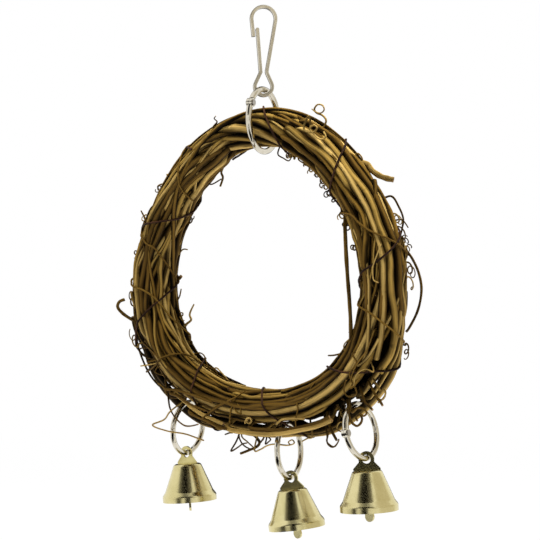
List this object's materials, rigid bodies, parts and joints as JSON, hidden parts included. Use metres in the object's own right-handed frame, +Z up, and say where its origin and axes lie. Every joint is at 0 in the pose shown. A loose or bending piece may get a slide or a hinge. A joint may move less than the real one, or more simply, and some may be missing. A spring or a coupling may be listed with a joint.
{
  "type": "bird swing",
  "caption": "Hanging bird swing: a round wreath of wound vines on a hinged ring and spring hook, with small bells on hinged rings below.",
  "frame": {"origin": "centre of the hook's upper arch, where the cage bar lies", "axes": "+Z up, wreath in the XZ plane, +Y out of the back of the wreath"},
  "size_m": [0.155, 0.0303, 0.2369],
  "materials": {
    "hook_nickel": "polished nickel plate",
    "ring_nickel": "polished nickel plate",
    "rivet_nickel": "satin nickel plate",
    "bell_brass": "pale brass plate with fine turning marks",
    "hanger_brass": "pale brass plate",
    "clapper_brass": "stamped, pale brass plate",
    "vine_tan": "dry stripped bark",
    "vine_brown": "dry bark",
    "runner_bark": "dry bark, thin runners",
    "binding_brown": "dark brown coated wire"
  },
  "bodies": {
    "hook": {"hook_body": "hook_nickel"},
    "hook_gate": {"hook_gate": "hook_nickel"},
    "top_ring": {"top_ring_upper": "ring_nickel", "top_ring_rivet": "rivet_nickel"},
    "top_ring_gate": {"top_ring_lower": "ring_nickel"},
    "wreath": {"vine_carrier": "vine_tan", "vine_second": "vine_brown", "vine_third": "vine_tan", "vine_fourth": "vine_brown", "vine_fifth": "vine_brown", "vine_core": "vine_brown", "runner_front": "runner_bark", "runner_back": "runner_bark", "binding_wire": "binding_brown", "shoot_upper": "runner_bark", "shoot_hook": "runner_bark", "shoot_bow": "runner_bark", "shoot_inner": "runner_bark"},
    "left_ring": {"left_ring_upper": "ring_nickel", "left_ring_rivet": "rivet_nickel"},
    "left_ring_gate": {"left_ring_lower": "ring_nickel"},
    "left_bell": {"left_bell_shell": "bell_brass", "left_bell_hanger": "hanger_brass"},
    "left_clapper": {"left_bell_clapper": "clapper_brass"},
    "middle_ring": {"middle_ring_upper": "ring_nickel", "middle_ring_rivet": "rivet_nickel"},
    "middle_ring_gate": {"middle_ring_lower": "ring_nickel"},
    "middle_bell": {"middle_bell_shell": "bell_brass", "middle_bell_hanger": "hanger_brass"},
    "middle_clapper": {"middle_bell_clapper": "clapper_brass"},
    "right_ring": {"right_ring_upper": "ring_nickel", "right_ring_rivet": "rivet_nickel"},
    "right_ring_gate": {"right_ring_lower": "ring_nickel"},
    "right_bell": {"right_bell_shell": "bell_brass", "right_bell_hanger": "hanger_brass"},
    "right_clapper": {"right_bell_clapper": "clapper_brass"}
  },
  "joints": [
    {"name": "hook_gate_flex", "type": "hinge", "parent": "hook", "child": "hook_gate", "pos_m": [-0.00094, -0.00097, -0.024], "axis": [-0.7193, 0.6947, 0], "range_deg": [0, 14], "stiffness_Nm_per_rad": 0.2, "springref_deg": -2.86},
    {"name": "top_ring_swing", "type": "hinge", "parent": "hook", "child": "top_ring", "pos_m": [0, 0, -0.03165], "axis": [-0.1908, 0.9816, 0], "range_deg": [-30, 30]},
    {"name": "top_ring_open", "type": "hinge", "parent": "top_ring", "child": "top_ring_gate", "pos_m": [0.00229, -0.01177, -0.03857], "axis": [-0.9816, -0.1908, 0], "range_deg": [0, 60]},
    {"name": "wreath_swing", "type": "hinge", "parent": "top_ring", "child": "wreath", "pos_m": [0, 0, -0.04939], "axis": [1, 0, 0], "range_deg": [-30, 30]},
    {"name": "left_ring_swing", "type": "hinge", "parent": "wreath", "child": "left_ring", "pos_m": [-0.04461, 0, -0.17813], "axis": [0.829, 0, -0.5592], "range_deg": [-15, 15]},
    {"name": "left_ring_open", "type": "hinge", "parent": "left_ring", "child": "left_ring_gate", "pos_m": [-0.04597, 0.01081, -0.18124], "axis": [0.9921, 0.1043, -0.0698], "range_deg": [0, 60]},
    {"name": "left_bell_swing", "type": "hinge", "parent": "left_ring_gate", "child": "left_bell", "pos_m": [-0.04595, -0.00014, -0.19736], "axis": [-0.1045, 0.9945, 0], "range_deg": [-30, 30]},
    {"name": "left_clapper_swing", "type": "hinge", "parent": "left_bell", "child": "left_clapper", "pos_m": [-0.04503, -0.00004, -0.20787], "axis": [0.9956, -0.0353, 0.0863], "range_deg": [-30, 30]},
    {"name": "middle_ring_swing", "type": "hinge", "parent": "wreath", "child": "middle_ring", "pos_m": [0.01391, 0, -0.18424], "axis": [0.982, 0, 0.1891], "range_deg": [-15, 15]},
    {"name": "middle_ring_open", "type": "hinge", "parent": "middle_ring", "child": "middle_ring_gate", "pos_m": [0.01205, 0.00907, -0.18507], "axis": [0.9758, 0.2074, 0.0698], "range_deg": [0, 60]},
    {"name": "middle_bell_swing", "type": "hinge", "parent": "middle_ring_gate", "child": "middle_bell", "pos_m": [0.01527, 0.00029, -0.20401], "axis": [-0.2079, 0.9781, 0], "range_deg": [-30, 30]},
    {"name": "middle_clapper_swing", "type": "hinge", "parent": "middle_bell", "child": "middle_clapper", "pos_m": [0.0167, 0.00059, -0.21446], "axis": [0.9753, 0.1716, 0.1391], "range_deg": [-30, 30]},
    {"name": "right_ring_swing", "type": "hinge", "parent": "wreath", "child": "right_ring", "pos_m": [0.05177, 0, -0.17369], "axis": [0.766, 0, 0.6428], "range_deg": [-15, 15]},
    {"name": "right_ring_open", "type": "hinge", "parent": "right_ring", "child": "right_ring_gate", "pos_m": [0.05411, -0.01164, -0.18114], "axis": [-0.973, -0.051, -0.225], "range_deg": [0, 60]},
    {"name": "right_bell_swing", "type": "hinge", "parent": "right_ring_gate", "child": "right_bell", "pos_m": [0.05613, 0.00023, -0.19259], "axis": [-0.0523, 0.9986, 0], "range_deg": [-30, 30]},
    {"name": "right_clapper_swing", "type": "hinge", "parent": "right_bell", "child": "right_clapper", "pos_m": [0.05687, 0.00027, -0.20312], "axis": [0.8966, 0.4383, 0.0642], "range_deg": [-30, 30]}
  ]
}
